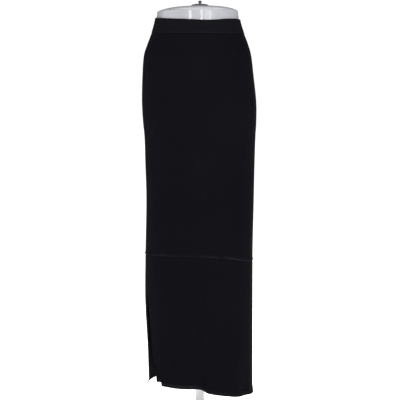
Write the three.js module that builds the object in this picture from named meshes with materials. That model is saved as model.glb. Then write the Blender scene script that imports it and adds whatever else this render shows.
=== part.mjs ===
// A black maxi skirt on a limbless dress form, which stands on a pole and a round base plate.
//
// Millimetres, +Z up. The origin is the centre of the base's underside, on the pole's axis. The front
// faces -Y, and the wearer's right side, with the slit, is at -X. The skirt is two tiers under a
// waistband, each cut as a front and a back. It sits turned on the form, so its side seams lie a
// little forward of -X and a little behind +X.
//
// Ring angles are in degrees: 0 is the -X end of a ring, 90 the front, 180 the +X end, 270 the back.

import * as THREE from 'three';

// Driving dimensions

const seamGap = 0.3; // between two pieces that are sewn or seated together
const clothWall = 2;
const bandWall = 3;
const bandProud = 0.7; // how far the waistband stands out past the skirt below it
const formClearance = 0.9; // between the form and the cloth at the waist and hips
const formWall = 4;
const sideTurn = 31; // ring angle of the seam that the slit continues

const hemDepth = 11; // height of the turned hem
const hemStep = 1.5; // height over which the hem's fold rises from the panel
const hemProud = 1.2;
const hemFlare = 3; // how far the hem's lower edge kicks out
const seamRidge = 0.8; // how far the tier seam's folded allowance stands out
const seamAllowance = 7;
const slitTop = 352; // height where the slit's two edges part

const poleRadius = 12.5;
const flangeRadius = 36;
const flangeThickness = 6;
const flangeFillet = 14;
const baseRadius = 140;
const baseEdge = 6;
const baseSlope = 12;
const hubRadius = 30;
const hubHeight = 22;
const capRadius = 26;
const capThickness = 7.6;
const knobNeck = 3;
const knobRadius = 5;
const knobHeight = 8;

const panelColumns = 22;
const formColumns = 32;
const plateSegments = 40;
const slimSegments = 20;

// The cloth's outer face at each height, lowest ring first: its reach to either side of the pole's
// axis, half its depth from front to back, and how far behind the axis its widest line runs
const skirtRings = [
  { z: 80, left: 144, right: 150, depth: 111, middle: -4 },
  { z: 198, left: 148, right: 150, depth: 111, middle: -4 },
  { z: 330, left: 155, right: 150, depth: 112, middle: -4 },
  { z: 462, left: 153, right: 149, depth: 112, middle: -4 },
  { z: 611, left: 150, right: 152, depth: 113, middle: -4 },
  { z: 711, left: 153, right: 154, depth: 115, middle: -4 },
  { z: 777, left: 155, right: 156, depth: 117, middle: -4 },
  { z: 827, left: 159, right: 159, depth: 119, middle: -6 },
  { z: 876, left: 160, right: 160, depth: 118, middle: -11 },
  { z: 943, left: 156, right: 155, depth: 113, middle: -19 },
  { z: 1003, left: 150, right: 149, depth: 105, middle: -24 },
  { z: 1036, left: 139, right: 139, depth: 98, middle: -24 },
  { z: 1061, left: 129, right: 129, depth: 91, middle: -24 },
  { z: 1085, left: 121, right: 121, depth: 85, middle: -24 },
  { z: 1108, left: 117, right: 117, depth: 82, middle: -23 },
  { z: 1120, left: 116, right: 116, depth: 81, middle: -23 },
];

// Heights of the garment's level lines at the four ends of their rings
const waistLine = { left: 1105.5, front: 1096.5, right: 1097.5, back: 1104 };
const bandLine = { left: 1065, front: 1057, right: 1056, back: 1065 };
const tierLine = { left: 456, front: 463, right: 446, back: 453 };
const hemLine = { left: 100, front: 101, right: 77, back: 92 };

// The waistband's top edge dips a little at the middle of the front
const waistDip = { at: 117, wide: 26, down: 4.3 };

// The stretch of the front hem that hangs lower, right of the deep fold
const hemDrop = { begins: 103, full: 114, ends: 140, gone: 170, down: 7 };

// The front panel's corner at the slit, where the turned hem stops short of the slit's own edge
const cornerNotch = { full: 50, gone: 57, up: 10 };

// Soft folds: ridges have a positive depth and troughs a negative one. A fold is deepest midway
// between its low and high ends, and `lean` is how far it turns round the skirt from low to high.
const folds = [
  { at: 112, lean: -16, low: -260, high: 410, wide: 8, deep: -11 },
  { at: 129, lean: -10, low: -200, high: 430, wide: 11, deep: 5 },
  { at: 76, lean: 6, low: -160, high: 380, wide: 15, deep: 4 },
  { at: 163, lean: -4, low: -80, high: 260, wide: 7, deep: -4 },
  { at: 208, lean: 8, low: -300, high: 420, wide: 10, deep: 6 },
  { at: 238, lean: 10, low: -240, high: 440, wide: 9, deep: -9 },
  { at: 262, lean: 4, low: -180, high: 380, wide: 12, deep: 5 },
  { at: 296, lean: -8, low: -280, high: 430, wide: 10, deep: -8 },
  { at: 326, lean: -12, low: -140, high: 300, wide: 12, deep: 5 },
  { at: 104, lean: -56, low: 620, high: 850, wide: 12, deep: 2 },
  { at: 128, lean: 10, low: 500, high: 800, wide: 16, deep: -2 },
  { at: 268, lean: -14, low: 470, high: 830, wide: 15, deep: -5 },
  { at: 236, lean: 12, low: 480, high: 800, wide: 13, deep: 3 },
  { at: 304, lean: 16, low: 500, high: 780, wide: 12, deep: 3 },
];

// The slit's two edges, by depth under its top
const slitEdges = [
  { under: 0, back: 31, front: 32 },
  { under: 30, back: 30, front: 36 },
  { under: 95, back: 27, front: 39 },
  { under: 190, back: 23, front: 43 },
  { under: 260, back: 16, front: 51 },
];

// The neck disc's rounded top, by radius and height over its foot
const capRows = [
  [capRadius, 0],
  [capRadius, 2],
  [22, 4.2],
  [15, 6.4],
  [7, capThickness],
];

// How far the form's outer face lies inside the cloth's outer face
const formInsets = [
  { z: 762, inset: 22 },
  { z: 770, inset: 13 },
  { z: 790, inset: 6 },
  { z: 827, inset: bandWall - bandProud + formClearance },
  { z: 1120, inset: bandWall - bandProud + formClearance },
];

// The form's rounded top, from the rim of its upright wall in to the flat under the neck disc
const rimHeight = 1119;
const domeHeight = 16.4;
const flatRadius = 30;
const domeRows = [
  { inwards: 0.01, up: 0.09 },
  { inwards: 0.04, up: 0.2 },
  { inwards: 0.12, up: 0.38 },
  { inwards: 0.26, up: 0.6 },
  { inwards: 0.44, up: 0.8 },
  { inwards: 0.62, up: 0.92 },
  { inwards: 0.82, up: 0.98 },
  { inwards: 1, up: 1 },
];
const ceilingHeight = rimHeight + domeHeight - formWall - 1.5;
const ceilingRows = [
  { inwards: 0.06, under: 12 },
  { inwards: 0.22, under: 4 },
  { inwards: 0.42, under: 0 },
  { inwards: 1, under: 0 },
];

// Curves through tables

const { degToRad, lerp, smoothstep } = THREE.MathUtils;

// Slope of a table's column at one row, from the rows on either side of it
function slopeAt(rows, along, column, index) {
  const before = rows[Math.max(index - 1, 0)];
  const after = rows[Math.min(index + 1, rows.length - 1)];
  return (after[column] - before[column]) / (after[along] - before[along]);
}

// A smooth curve through the rows' values, level past either end
function readTable(rows, along, column, place) {
  const first = rows[0];
  const last = rows[rows.length - 1];
  if (place <= first[along]) return first[column];
  if (place >= last[along]) return last[column];
  const index = rows.findIndex((row) => row[along] > place) - 1;
  const low = rows[index];
  const high = rows[index + 1];
  const span = high[along] - low[along];
  const t = (place - low[along]) / span;
  const startPull = slopeAt(rows, along, column, index) * span;
  const endPull = slopeAt(rows, along, column, index + 1) * span;
  const t2 = t * t;
  const t3 = t2 * t;
  return (
    low[column] * (2 * t3 - 3 * t2 + 1) +
    startPull * (t3 - 2 * t2 + t) +
    high[column] * (3 * t2 - 2 * t3) +
    endPull * (t3 - t2)
  );
}

// The cloth's surface

// Height of a level line at a ring angle, easing between its four stated heights
function lineHeight(line, angle) {
  const across = Math.cos(degToRad(angle));
  const forward = Math.sin(degToRad(angle));
  const side = across > 0 ? line.left : line.right;
  const end = forward > 0 ? line.front : line.back;
  return side * across ** 2 + end * forward ** 2;
}

function hemHeight(angle) {
  const { begins, full, ends, gone, down } = hemDrop;
  const drop = smoothstep(angle, begins, full) * (1 - smoothstep(angle, ends, gone));
  const pastSeam = smoothstep(angle, sideTurn, sideTurn + 1);
  const notch = pastSeam - smoothstep(angle, cornerNotch.full, cornerNotch.gone);
  return lineHeight(hemLine, angle) - down * drop + cornerNotch.up * notch;
}

// The shortest turn from one ring angle to another, between -180 and 180
function turnBetween(from, to) {
  return ((((to - from + 180) % 360) + 360) % 360) - 180;
}

function foldDepth(angle, z) {
  let depth = 0;
  for (const fold of folds) {
    const along = (z - fold.low) / (fold.high - fold.low);
    if (along <= 0 || along >= 1) continue;
    const offset = turnBetween(fold.at + fold.lean * along, angle) / fold.wide;
    depth += fold.deep * Math.exp(-offset * offset) * Math.sin(Math.PI * along) ** 2;
  }
  return depth;
}

// A point on the cloth's ring at this height, moved out along the ring's normal
function ringPoint(angle, z, out) {
  const across = Math.cos(degToRad(angle));
  const forward = Math.sin(degToRad(angle));
  const reach = readTable(skirtRings, 'z', across > 0 ? 'left' : 'right', z);
  const depth = readTable(skirtRings, 'z', 'depth', z);
  const middle = readTable(skirtRings, 'z', 'middle', z);
  const normal = new THREE.Vector2(across / reach, forward / depth).normalize();
  const x = -reach * across - normal.x * out;
  const y = middle - depth * forward - normal.y * out;
  return new THREE.Vector3(x, y, z);
}

function clothPoint(angle, z, out) {
  return ringPoint(angle, z, out + foldDepth(angle, z));
}

// Half a seam's gap as a turn of the ring, about equal all round
function gapTurn() {
  const meanReach = 130;
  return THREE.MathUtils.radToDeg(seamGap / 2 / meanReach);
}

// Closed solids from grids of points

// Joins an outer and an inner grid of points, given as rows from low to high, into one closed wall
function wallSolid(outer, inner) {
  const rowCount = outer.length;
  const columnCount = outer[0].length;
  const points = [...outer.flat(), ...inner.flat()];
  const innerStart = rowCount * columnCount;
  const outerIndex = (row, column) => row * columnCount + column;
  const innerIndex = (row, column) => innerStart + row * columnCount + column;
  const faces = [];
  const addQuad = (a, b, c, d) => faces.push(a, b, c, a, c, d);
  for (let row = 0; row < rowCount - 1; row += 1) {
    for (let column = 0; column < columnCount - 1; column += 1) {
      addQuad(
        outerIndex(row, column),
        outerIndex(row, column + 1),
        outerIndex(row + 1, column + 1),
        outerIndex(row + 1, column),
      );
      addQuad(
        innerIndex(row, column),
        innerIndex(row + 1, column),
        innerIndex(row + 1, column + 1),
        innerIndex(row, column + 1),
      );
    }
  }
  const top = rowCount - 1;
  const last = columnCount - 1;
  for (let column = 0; column < last; column += 1) {
    const next = column + 1;
    addQuad(innerIndex(0, column), innerIndex(0, next), outerIndex(0, next), outerIndex(0, column));
    addQuad(
      outerIndex(top, column),
      outerIndex(top, next),
      innerIndex(top, next),
      innerIndex(top, column),
    );
  }
  for (let row = 0; row < top; row += 1) {
    addQuad(outerIndex(row, 0), outerIndex(row + 1, 0), innerIndex(row + 1, 0), innerIndex(row, 0));
    addQuad(
      innerIndex(row, last),
      innerIndex(row + 1, last),
      outerIndex(row + 1, last),
      outerIndex(row, last),
    );
  }
  return solidFrom(points, faces);
}

// Closes a stack of full rings, each a loop of points, with a point at either end
function ringSolid(rings, startPoint, endPoint) {
  const count = rings[0].length;
  const points = [...rings.flat(), startPoint, endPoint];
  const startIndex = rings.length * count;
  const endIndex = startIndex + 1;
  const faces = [];
  for (let column = 0; column < count; column += 1) {
    const next = (column + 1) % count;
    faces.push(startIndex, next, column);
    for (let row = 0; row < rings.length - 1; row += 1) {
      const low = row * count;
      const high = low + count;
      faces.push(low + column, low + next, high + next);
      faces.push(low + column, high + next, high + column);
    }
    const top = (rings.length - 1) * count;
    faces.push(top + column, top + next, endIndex);
  }
  return solidFrom(points, faces);
}

function solidFrom(points, faces) {
  const geometry = new THREE.BufferGeometry();
  geometry.setFromPoints(points);
  geometry.setIndex(faces);
  geometry.computeVertexNormals();
  return geometry;
}

// The skirt's pieces

// A cut piece between two seams and two level lines. Each row is a height measured up from the
// lower line or down from the upper one, with how far the outer and inner faces stand out there.
function cutPiece({ angles, lower, upper, rows }) {
  const outer = [];
  const inner = [];
  for (const row of rows) {
    const outerRow = [];
    const innerRow = [];
    for (let column = 0; column <= panelColumns; column += 1) {
      const angle = placeAcross(angles, lower, upper, row, column / panelColumns);
      const z = rowHeight(lower(angle), upper(angle), row);
      outerRow.push(clothPoint(angle, z, row.outer));
      innerRow.push(clothPoint(angle, z, row.inner));
    }
    outer.push(outerRow);
    inner.push(innerRow);
  }
  return wallSolid(outer, inner);
}

function rowHeight(low, high, row) {
  if (row.up !== undefined) return low + row.up;
  if (row.down !== undefined) return high - row.down;
  return lerp(low, high, row.share);
}

// Ring angle of a column, between the piece's edges at about that row's height
function placeAcross(angles, lower, upper, row, share) {
  const start = angles(rowHeight(lower(sideTurn), upper(sideTurn), row));
  return lerp(start.from, start.to, share);
}

// Rows spread evenly between two shares of the height, all at the panel's own face
function plainRows(from, to, count) {
  return Array.from({ length: count }, (_, index) => ({
    share: lerp(from, to, index / (count - 1)),
    outer: 0,
    inner: -clothWall,
  }));
}

const halfGap = seamGap / 2;
const frontAngles = () => ({ from: sideTurn + gapTurn(), to: sideTurn + 180 - gapTurn() });
const backAngles = () => ({ from: sideTurn - 180 + gapTurn(), to: sideTurn - gapTurn() });

function lowerFrontAngles(z) {
  const { from, to } = frontAngles();
  if (z >= slitTop) return { from, to };
  return { from: readTable(slitEdges, 'under', 'front', slitTop - z), to };
}

function lowerBackAngles(z) {
  const { from, to } = backAngles();
  if (z >= slitTop) return { from, to };
  return { from, to: Math.min(to, readTable(slitEdges, 'under', 'back', slitTop - z)) };
}

const bandFaces = { outer: bandProud, inner: bandProud - bandWall };
const bandRows = [
  { up: halfGap, ...bandFaces },
  { share: 0.25, ...bandFaces },
  { share: 0.5, ...bandFaces },
  { share: 0.75, ...bandFaces },
  { share: 1, ...bandFaces },
];

const upperRows = [
  { up: halfGap, outer: seamRidge, inner: -clothWall },
  { up: seamAllowance, outer: seamRidge, inner: -clothWall },
  { up: seamAllowance + hemStep, outer: 0, inner: -clothWall },
  ...plainRows(0.09, 0.55, 6),
  ...plainRows(0.62, 0.96, 10),
  { down: halfGap, outer: 0, inner: -clothWall },
];

const lowerRows = [
  { up: 0, outer: hemFlare, inner: hemFlare - clothWall },
  { up: hemDepth / 2, outer: (hemFlare + hemProud) / 2, inner: -clothWall / 2 },
  { up: hemDepth, outer: hemProud, inner: -clothWall },
  { up: hemDepth + hemStep, outer: 0, inner: -clothWall },
  ...plainRows(0.12, 0.9, 10),
  { down: seamAllowance + hemStep, outer: 0, inner: -clothWall },
  { down: seamAllowance, outer: seamRidge, inner: -clothWall },
  { down: halfGap, outer: seamRidge, inner: -clothWall },
];

function waistEdge(angle) {
  const offset = turnBetween(waistDip.at, angle) / waistDip.wide;
  return lineHeight(waistLine, angle) - waistDip.down * Math.exp(-offset * offset);
}

const bandEdge = (angle) => lineHeight(bandLine, angle);
const tierEdge = (angle) => lineHeight(tierLine, angle);

const halfWidths = { front: frontAngles, back: backAngles };
const lowerHalves = { front: lowerFrontAngles, back: lowerBackAngles };

function bandPiece(half) {
  return cutPiece({ angles: halfWidths[half], lower: bandEdge, upper: waistEdge, rows: bandRows });
}

function upperPiece(half) {
  return cutPiece({ angles: halfWidths[half], lower: tierEdge, upper: bandEdge, rows: upperRows });
}

function lowerPiece(half) {
  return cutPiece({ angles: lowerHalves[half], lower: hemHeight, upper: tierEdge, rows: lowerRows });
}

// The dress form and its stand

function formRing(z, extraInset) {
  const inset = readTable(formInsets, 'z', 'inset', z) + extraInset;
  return ringOf((angle) => ringPoint(angle, z, -inset));
}

function ringOf(pointAt) {
  return Array.from({ length: formColumns }, (_, column) => pointAt((column * 360) / formColumns));
}

// A ring part of the way from the wall's rim in to the circle under the neck disc
function domeRing(inwards, z, extraInset) {
  const rim = formRing(rimHeight, extraInset);
  return rim.map((point, column) => {
    const turn = degToRad((column * 360) / formColumns);
    const x = lerp(point.x, -flatRadius * Math.cos(turn), inwards);
    const y = lerp(point.y, -flatRadius * Math.sin(turn), inwards);
    return new THREE.Vector3(x, y, z);
  });
}

// The shell is one wall: down its inner face, round its open lower rim, and up its outer face
function formShell() {
  const wallHeights = [
    762, 770, 790, 812, 836, 866, 900, 935, 968, 1000, 1022, 1040, 1054, 1066, 1078, 1090, 1100, 1110,
  ];
  const innerHeights = wallHeights.filter((_, row) => row % 2 === 0).reverse();
  const innerWall = innerHeights.map((z) => formRing(z, formWall));
  const outerWall = wallHeights.map((z) => formRing(z, 0));
  const ceiling = [...ceilingRows].reverse();
  const innerDome = ceiling.map((row) => domeRing(row.inwards, ceilingHeight - row.under, formWall));
  const outerDome = domeRows.map((row) => domeRing(row.inwards, rimHeight + domeHeight * row.up, 0));
  const rings = [...innerDome, ...innerWall, ...outerWall, formRing(rimHeight, 0), ...outerDome];
  const ceilingCentre = new THREE.Vector3(0, 0, ceilingHeight);
  const topCentre = new THREE.Vector3(0, 0, rimHeight + domeHeight);
  return ringSolid(rings, ceilingCentre, topCentre);
}

// A turned solid from its profile of [radius, height] steps, lowest first
function turned(profile, segments) {
  const steps = profile.map(([radius, height]) => new THREE.Vector2(radius, height));
  return new THREE.LatheGeometry(steps, segments).rotateX(Math.PI / 2);
}

function basePlate() {
  const profile = [
    [0, 0],
    [baseRadius, 0],
    [baseRadius, baseEdge],
    [baseRadius - 3, baseEdge + 2],
    [hubRadius + 12, baseSlope],
    [hubRadius, baseSlope + 3],
    [hubRadius - 4, hubHeight - 2],
    [hubRadius - 6, hubHeight],
    [0, hubHeight],
  ];
  return turned(profile, plateSegments);
}

function supportPole() {
  const foot = hubHeight + seamGap;
  const top = ceilingHeight - seamGap;
  const flangeFoot = top - flangeThickness;
  const profile = [
    [0, foot],
    [poleRadius, foot],
    [poleRadius, flangeFoot - flangeFillet],
    [poleRadius + 3, flangeFoot - 4],
    [poleRadius + 10, flangeFoot],
    [flangeRadius, flangeFoot],
    [flangeRadius, top],
    [0, top],
  ];
  return turned(profile, slimSegments);
}

const capFoot = rimHeight + domeHeight + seamGap;

function neckCap() {
  const rim = capRows.map(([radius, height]) => [radius, capFoot + height]);
  const profile = [[0, capFoot], ...rim, [0, capFoot + capThickness]];
  return turned(profile, plateSegments);
}

function capKnob() {
  const foot = capFoot + capThickness + seamGap;
  const profile = [
    [0, foot],
    [knobNeck, foot],
    [knobNeck, foot + 2],
    [knobRadius, foot + 3],
    [knobRadius, foot + knobHeight - 2],
    [knobNeck, foot + knobHeight],
    [0, foot + knobHeight],
  ];
  return turned(profile, slimSegments);
}

// Finishes

const blackCloth = { color: '#16151a', roughness: 0.85, metalness: 0 };
const greyPlastic = { color: '#bfc0c6', roughness: 0.2, metalness: 0 };
const darkPlastic = { color: '#2c2c30', roughness: 0.3, metalness: 0 };
const whiteEnamel = { color: '#f0f0f1', roughness: 0.35, metalness: 0.1 };
const whiteLacquer = { color: '#ececee', roughness: 0.3, metalness: 0.1 };

const model = new THREE.Group();

function addPiece(name, geometry, finish) {
  const mesh = new THREE.Mesh(geometry, new THREE.MeshStandardMaterial(finish));
  mesh.name = name;
  model.add(mesh);
}

for (const half of ['front', 'back']) {
  addPiece(`waistband_${half}`, bandPiece(half), blackCloth);
  addPiece(`upper_${half}`, upperPiece(half), blackCloth);
  addPiece(`lower_${half}`, lowerPiece(half), blackCloth);
}
addPiece('form_shell', formShell(), greyPlastic);
addPiece('neck_cap', neckCap(), darkPlastic);
addPiece('cap_knob', capKnob(), darkPlastic);
addPiece('support_pole', supportPole(), whiteEnamel);
addPiece('base_plate', basePlate(), whiteLacquer);

export default model;
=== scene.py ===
# %% [markdown]
# # A black maxi skirt on a dress form
# The skirt is two tubes of black jersey under a waistband, with a slit low on the wearer's right.
# It hangs from a glossy hip form on a pole. The solids of every piece already exist at their real
# size in the frame that is loaded here. This lesson gives each piece its cloth, stitching, gloss
# and light. Everything is in metres, with +Z up and the skirt's front facing -Y.

# %% Open the frame
import math

import bmesh
import bpy
from mathutils import Matrix, Vector, noise


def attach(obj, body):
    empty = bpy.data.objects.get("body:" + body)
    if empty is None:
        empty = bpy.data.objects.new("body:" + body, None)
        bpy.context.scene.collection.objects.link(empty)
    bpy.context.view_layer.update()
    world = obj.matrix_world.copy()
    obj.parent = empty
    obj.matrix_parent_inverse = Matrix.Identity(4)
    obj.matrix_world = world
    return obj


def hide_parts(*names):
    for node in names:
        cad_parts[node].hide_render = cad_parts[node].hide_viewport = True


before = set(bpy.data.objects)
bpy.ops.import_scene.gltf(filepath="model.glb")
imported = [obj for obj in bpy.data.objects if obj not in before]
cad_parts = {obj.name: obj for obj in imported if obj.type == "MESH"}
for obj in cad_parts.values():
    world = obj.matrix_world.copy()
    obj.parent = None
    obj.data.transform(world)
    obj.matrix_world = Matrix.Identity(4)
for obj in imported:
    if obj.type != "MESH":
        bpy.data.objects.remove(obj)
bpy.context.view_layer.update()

# %% [markdown]
# ## The skirt's sizes
# A worn skirt is a stack of rings, widest at the hips. Each row below is one ring of the cloth's
# outer face: its reach to either side, half its depth, and where its widest line runs. A few rows
# and a smooth curve through them are easier to correct than a sculpted mesh, and they repeat the
# sizes of the solids exactly. Angles run round a ring in degrees: 0 at the -X end, 90 at the front,
# 180 at the +X end and 270 at the back.

# %% Rings and level lines
HALVES = ("front", "back")


def table(columns, rows):
    """Rows of values under named columns."""
    return [dict(zip(columns, row)) for row in rows]


SKIRT_RINGS = table(("z", "left", "right", "depth", "middle"), (
    (0.080, 0.144, 0.150, 0.111, -0.004),
    (0.198, 0.148, 0.150, 0.111, -0.004),
    (0.330, 0.155, 0.150, 0.112, -0.004),
    (0.462, 0.153, 0.149, 0.112, -0.004),
    (0.611, 0.150, 0.152, 0.113, -0.004),
    (0.711, 0.153, 0.154, 0.115, -0.004),
    (0.777, 0.155, 0.156, 0.117, -0.004),
    (0.827, 0.159, 0.159, 0.119, -0.006),
    (0.876, 0.160, 0.160, 0.118, -0.011),
    (0.943, 0.156, 0.155, 0.113, -0.019),
    (1.003, 0.150, 0.149, 0.105, -0.024),
    (1.036, 0.139, 0.139, 0.098, -0.024),
    (1.061, 0.129, 0.129, 0.091, -0.024),
    (1.085, 0.121, 0.121, 0.085, -0.024),
    (1.108, 0.117, 0.117, 0.082, -0.023),
    (1.120, 0.116, 0.116, 0.081, -0.023),
))

WAIST_LINE, BAND_LINE, TIER_LINE, HEM_LINE = table(("left", "front", "right", "back"), (
    (1.1055, 1.0965, 1.0975, 1.104),
    (1.065, 1.057, 1.056, 1.065),
    (0.456, 0.463, 0.446, 0.453),
    (0.100, 0.101, 0.077, 0.092),
))
print(len(SKIRT_RINGS), "rings")

# %% Folds, slit and cuts
LARGE_FOLDS = table(("at", "lean", "low", "high", "wide", "deep"), (
    (112, -16, -0.260, 0.410, 8, -0.011),
    (129, -10, -0.200, 0.430, 11, 0.005),
    (76, 6, -0.160, 0.380, 15, 0.004),
    (163, -4, -0.080, 0.260, 7, -0.004),
    (208, 8, -0.300, 0.420, 10, 0.006),
    (238, 10, -0.240, 0.440, 9, -0.009),
    (262, 4, -0.180, 0.380, 12, 0.005),
    (296, -8, -0.280, 0.430, 10, -0.008),
    (326, -12, -0.140, 0.300, 12, 0.005),
    (104, -56, 0.620, 0.850, 12, 0.002),
    (128, 10, 0.500, 0.800, 16, -0.002),
    (268, -14, 0.470, 0.830, 15, -0.005),
    (236, 12, 0.480, 0.800, 13, 0.003),
    (304, 16, 0.500, 0.780, 12, 0.003),
))

SIDE_TURN = 31.0  # ring angle of the seam that the slit continues
SLIT_TOP = 0.352
SLIT_EDGES = table(("under", "back", "front"), (
    (0.000, 31, 31.2),
    (0.030, 30, 36),
    (0.095, 27, 39),
    (0.190, 23, 43),
    (0.260, 16, 52.5),
))
OUTWARD = {"front": 1, "back": -1}  # which way a half's cloth lies from the slit

# Width and length of each cut piece
BAND_CUT = (0.340, 0.084)
TURNING_CUT = (0.012, 0.25)
print(len(LARGE_FOLDS), "large folds")

# %% [markdown]
# ## From tables to a surface
# A table is read with a cubic curve, so the cloth has no corners between its rings. A fold is a
# soft bell across the cloth that fades at both ends, which suits jersey better than a sharp crease.
# The hem is level but for three stretches, and the tier seam wavers a little.

# %% Read a table smoothly
def slope_at(rows, along, column, index):
    """Slope of a column at one row, from the rows on either side of it."""
    before = rows[max(index - 1, 0)]
    after = rows[min(index + 1, len(rows) - 1)]
    return (after[column] - before[column]) / (after[along] - before[along])


def read_table(rows, along, column, place):
    """A smooth curve through the rows' values, level past either end."""
    if place <= rows[0][along]:
        return rows[0][column]
    if place >= rows[-1][along]:
        return rows[-1][column]
    index = next(i for i, row in enumerate(rows) if row[along] > place) - 1
    low, high = rows[index], rows[index + 1]
    span = high[along] - low[along]
    t = (place - low[along]) / span
    start_pull = slope_at(rows, along, column, index) * span
    end_pull = slope_at(rows, along, column, index + 1) * span
    return (low[column] * (2 * t**3 - 3 * t**2 + 1) + start_pull * (t**3 - 2 * t**2 + t)
            + high[column] * (3 * t**2 - 2 * t**3) + end_pull * (t**3 - t**2))


# %% Soft steps and bells
def ease(value, start, end):
    """0 before start, 1 after end, and a smooth rise between them."""
    t = min(max((value - start) / (end - start), 0.0), 1.0)
    return t * t * (3 - 2 * t)


def plateau(value, stretch):
    """1 along a stretch and 0 away from it, with a smooth rise and fall."""
    rise = ease(value, stretch["begins"], stretch["full"])
    return rise * (1 - ease(value, stretch["ends"], stretch["gone"]))


def bell(distance, wide):
    """1 at the middle of a bell, about a third of that at its stated width, and 0 far away."""
    return math.exp(-((distance / wide)**2))


def turn_from(centre, angle):
    """Degrees from one ring angle to another, the short way round."""
    return (angle - centre + 180) % 360 - 180


def wander(angle, rate, *lane):
    """Noise from -1 to 1 that drifts round the skirt, and another drift for each lane."""
    return noise.noise(Vector((angle * rate, *lane)))


# %% Level lines round the skirt
STRETCH = ("begins", "full", "ends", "gone", "down")
HEM_STRETCHES = table(STRETCH, (
    (103, 114, 140, 170, 0.007),  # the front past its long drape
    (SIDE_TURN, SIDE_TURN + 1, 57.2, 58.0, -0.010),  # the front's corner at the slit
    (-22, 10, 20, 30, 0.0062),  # the back's corner at the slit
))
TIER_WAVES = table(("at", "wide", "up"), (
    (25, 16, 0.0022),
    (82, 8, -0.0016),
    (136, 24, 0.0027),
    (215, 22, -0.0018),
    (290, 26, 0.0020),
))
WAIST_DIP = {"at": 117, "wide": 26, "down": 0.0043}


def line_height(line, angle):
    """Height of a level line, easing between its four stated heights."""
    across, forward = math.cos(math.radians(angle)), math.sin(math.radians(angle))
    side = line["left"] if across > 0 else line["right"]
    end = line["front"] if forward > 0 else line["back"]
    return side * across**2 + end * forward**2


def waist_height(angle):
    """The waistband's top edge, which dips a little at the middle of the front."""
    dip = bell(turn_from(WAIST_DIP["at"], angle), WAIST_DIP["wide"])
    return line_height(WAIST_LINE, angle) - WAIST_DIP["down"] * dip


def tier_height(angle):
    """The tier seam's height: a level line that wavers a little, as a long seam in jersey does."""
    height = line_height(TIER_LINE, angle)
    for wave in TIER_WAVES:
        height += wave["up"] * bell(turn_from(wave["at"], angle), wave["wide"])
    return height


def hem_height(angle):
    """The hem's lower edge, with its uneven stretches."""
    height = line_height(HEM_LINE, angle)
    for stretch in HEM_STRETCHES:
        height -= stretch["down"] * plateau(angle, stretch)
    return height


# %% Folds, large and small
CREASE_SEED = Vector((3.7, 1.9, 8.2))
CREASES = {"deep": 0.0007, "round": 3.1, "down": 2.3, "twist": 0.9}
SLACK = {"hanging": 1.7, "on form": 0.5, "low": 0.55, "high": 0.95}
RIPPLES = {"deep": 0.0012, "round": 5.3, "level": 0.4, "fade": 0.028}


def fold_depth(angle, z):
    """How far the large folds move the cloth out, or in where they are troughs."""
    depth = 0.0
    for fold in LARGE_FOLDS:
        along = (z - fold["low"]) / (fold["high"] - fold["low"])
        if 0 < along < 1:
            turn = turn_from(fold["at"] + fold["lean"] * along, angle)
            depth += fold["deep"] * bell(turn, fold["wide"]) * math.sin(math.pi * along)**2
    return depth


def small_creases(angle, z):
    """Shallow uneven drapes that lean down the cloth, faint over the form and fuller below it."""
    across = math.cos(math.radians(angle)) * CREASES["round"] + z * CREASES["twist"]
    forward = math.sin(math.radians(angle)) * CREASES["round"]
    place = Vector((across, forward, z * CREASES["down"])) + CREASE_SEED
    tighter = (SLACK["on form"] - SLACK["hanging"]) * ease(z, SLACK["low"], SLACK["high"])
    return CREASES["deep"] * (SLACK["hanging"] + tighter) * noise.noise(place)


def hem_ripple(angle, above):
    """The hem kicks in and out in uneven waves that die away a few centimetres up."""
    across = math.cos(math.radians(angle)) * RIPPLES["round"]
    forward = math.sin(math.radians(angle)) * RIPPLES["round"]
    place = Vector((across, forward, RIPPLES["level"])) + CREASE_SEED
    return RIPPLES["deep"] * noise.noise(place) * math.exp(-above / RIPPLES["fade"])


# %% Points on the cloth
def ring_point(angle, z, out):
    """A point on the ring at this height, moved out along the ring's normal."""
    across, forward = math.cos(math.radians(angle)), math.sin(math.radians(angle))
    reach = read_table(SKIRT_RINGS, "z", "left" if across > 0 else "right", z)
    depth = read_table(SKIRT_RINGS, "z", "depth", z)
    middle = read_table(SKIRT_RINGS, "z", "middle", z)
    normal = Vector((across / reach, forward / depth)).normalized()
    return Vector((-reach * across - normal.x * out, middle - depth * forward - normal.y * out, z))


def cloth_point(angle, z, out):
    """A point on the hanging cloth, with every fold and crease."""
    spare = small_creases(angle, z) + hem_ripple(angle, z - hem_height(angle))
    return ring_point(angle, z, out + fold_depth(angle, z) + spare)


print("the hem's front is", round(hem_height(90), 4), "m above the floor")

# %% [markdown]
# ## A sheet from a grid
# Every cloth piece starts as Blender's own grid, a flat unit square. Its columns run round the
# skirt and its rows run down it, and each vertex is moved to its place on the surface. The UV map
# is laid out in metres first, so the knit has the same stitch size on every piece. Each vertex also
# keeps a number from 0 to 1 that makes the black cloth paler: a painted highlight on the tier seam's
# ridge and the band's lower edge, painted light on the slit's turnings, and a paler hem band.

# %% Grid helpers
MESH_MARGIN = 1e-6
LOW_SHARE, HIGH_SHARE = 0.16, 0.10  # shares of a grid's rows in the fine band at each end


def finish_mesh(bm, name, smooth=True):
    """Turns a bmesh into an object in the scene."""
    mesh = bpy.data.meshes.new(name)
    bm.to_mesh(mesh)
    bm.free()
    for polygon in mesh.polygons:
        polygon.use_smooth = smooth
    piece = bpy.data.objects.new(name, mesh)
    bpy.context.scene.collection.objects.link(piece)
    return piece


def settle(piece, node=None):
    """Fixes a piece to the part's one body, and hides the solid it stands for."""
    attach(piece, "root")
    if node:
        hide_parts(node)
    return piece


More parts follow.
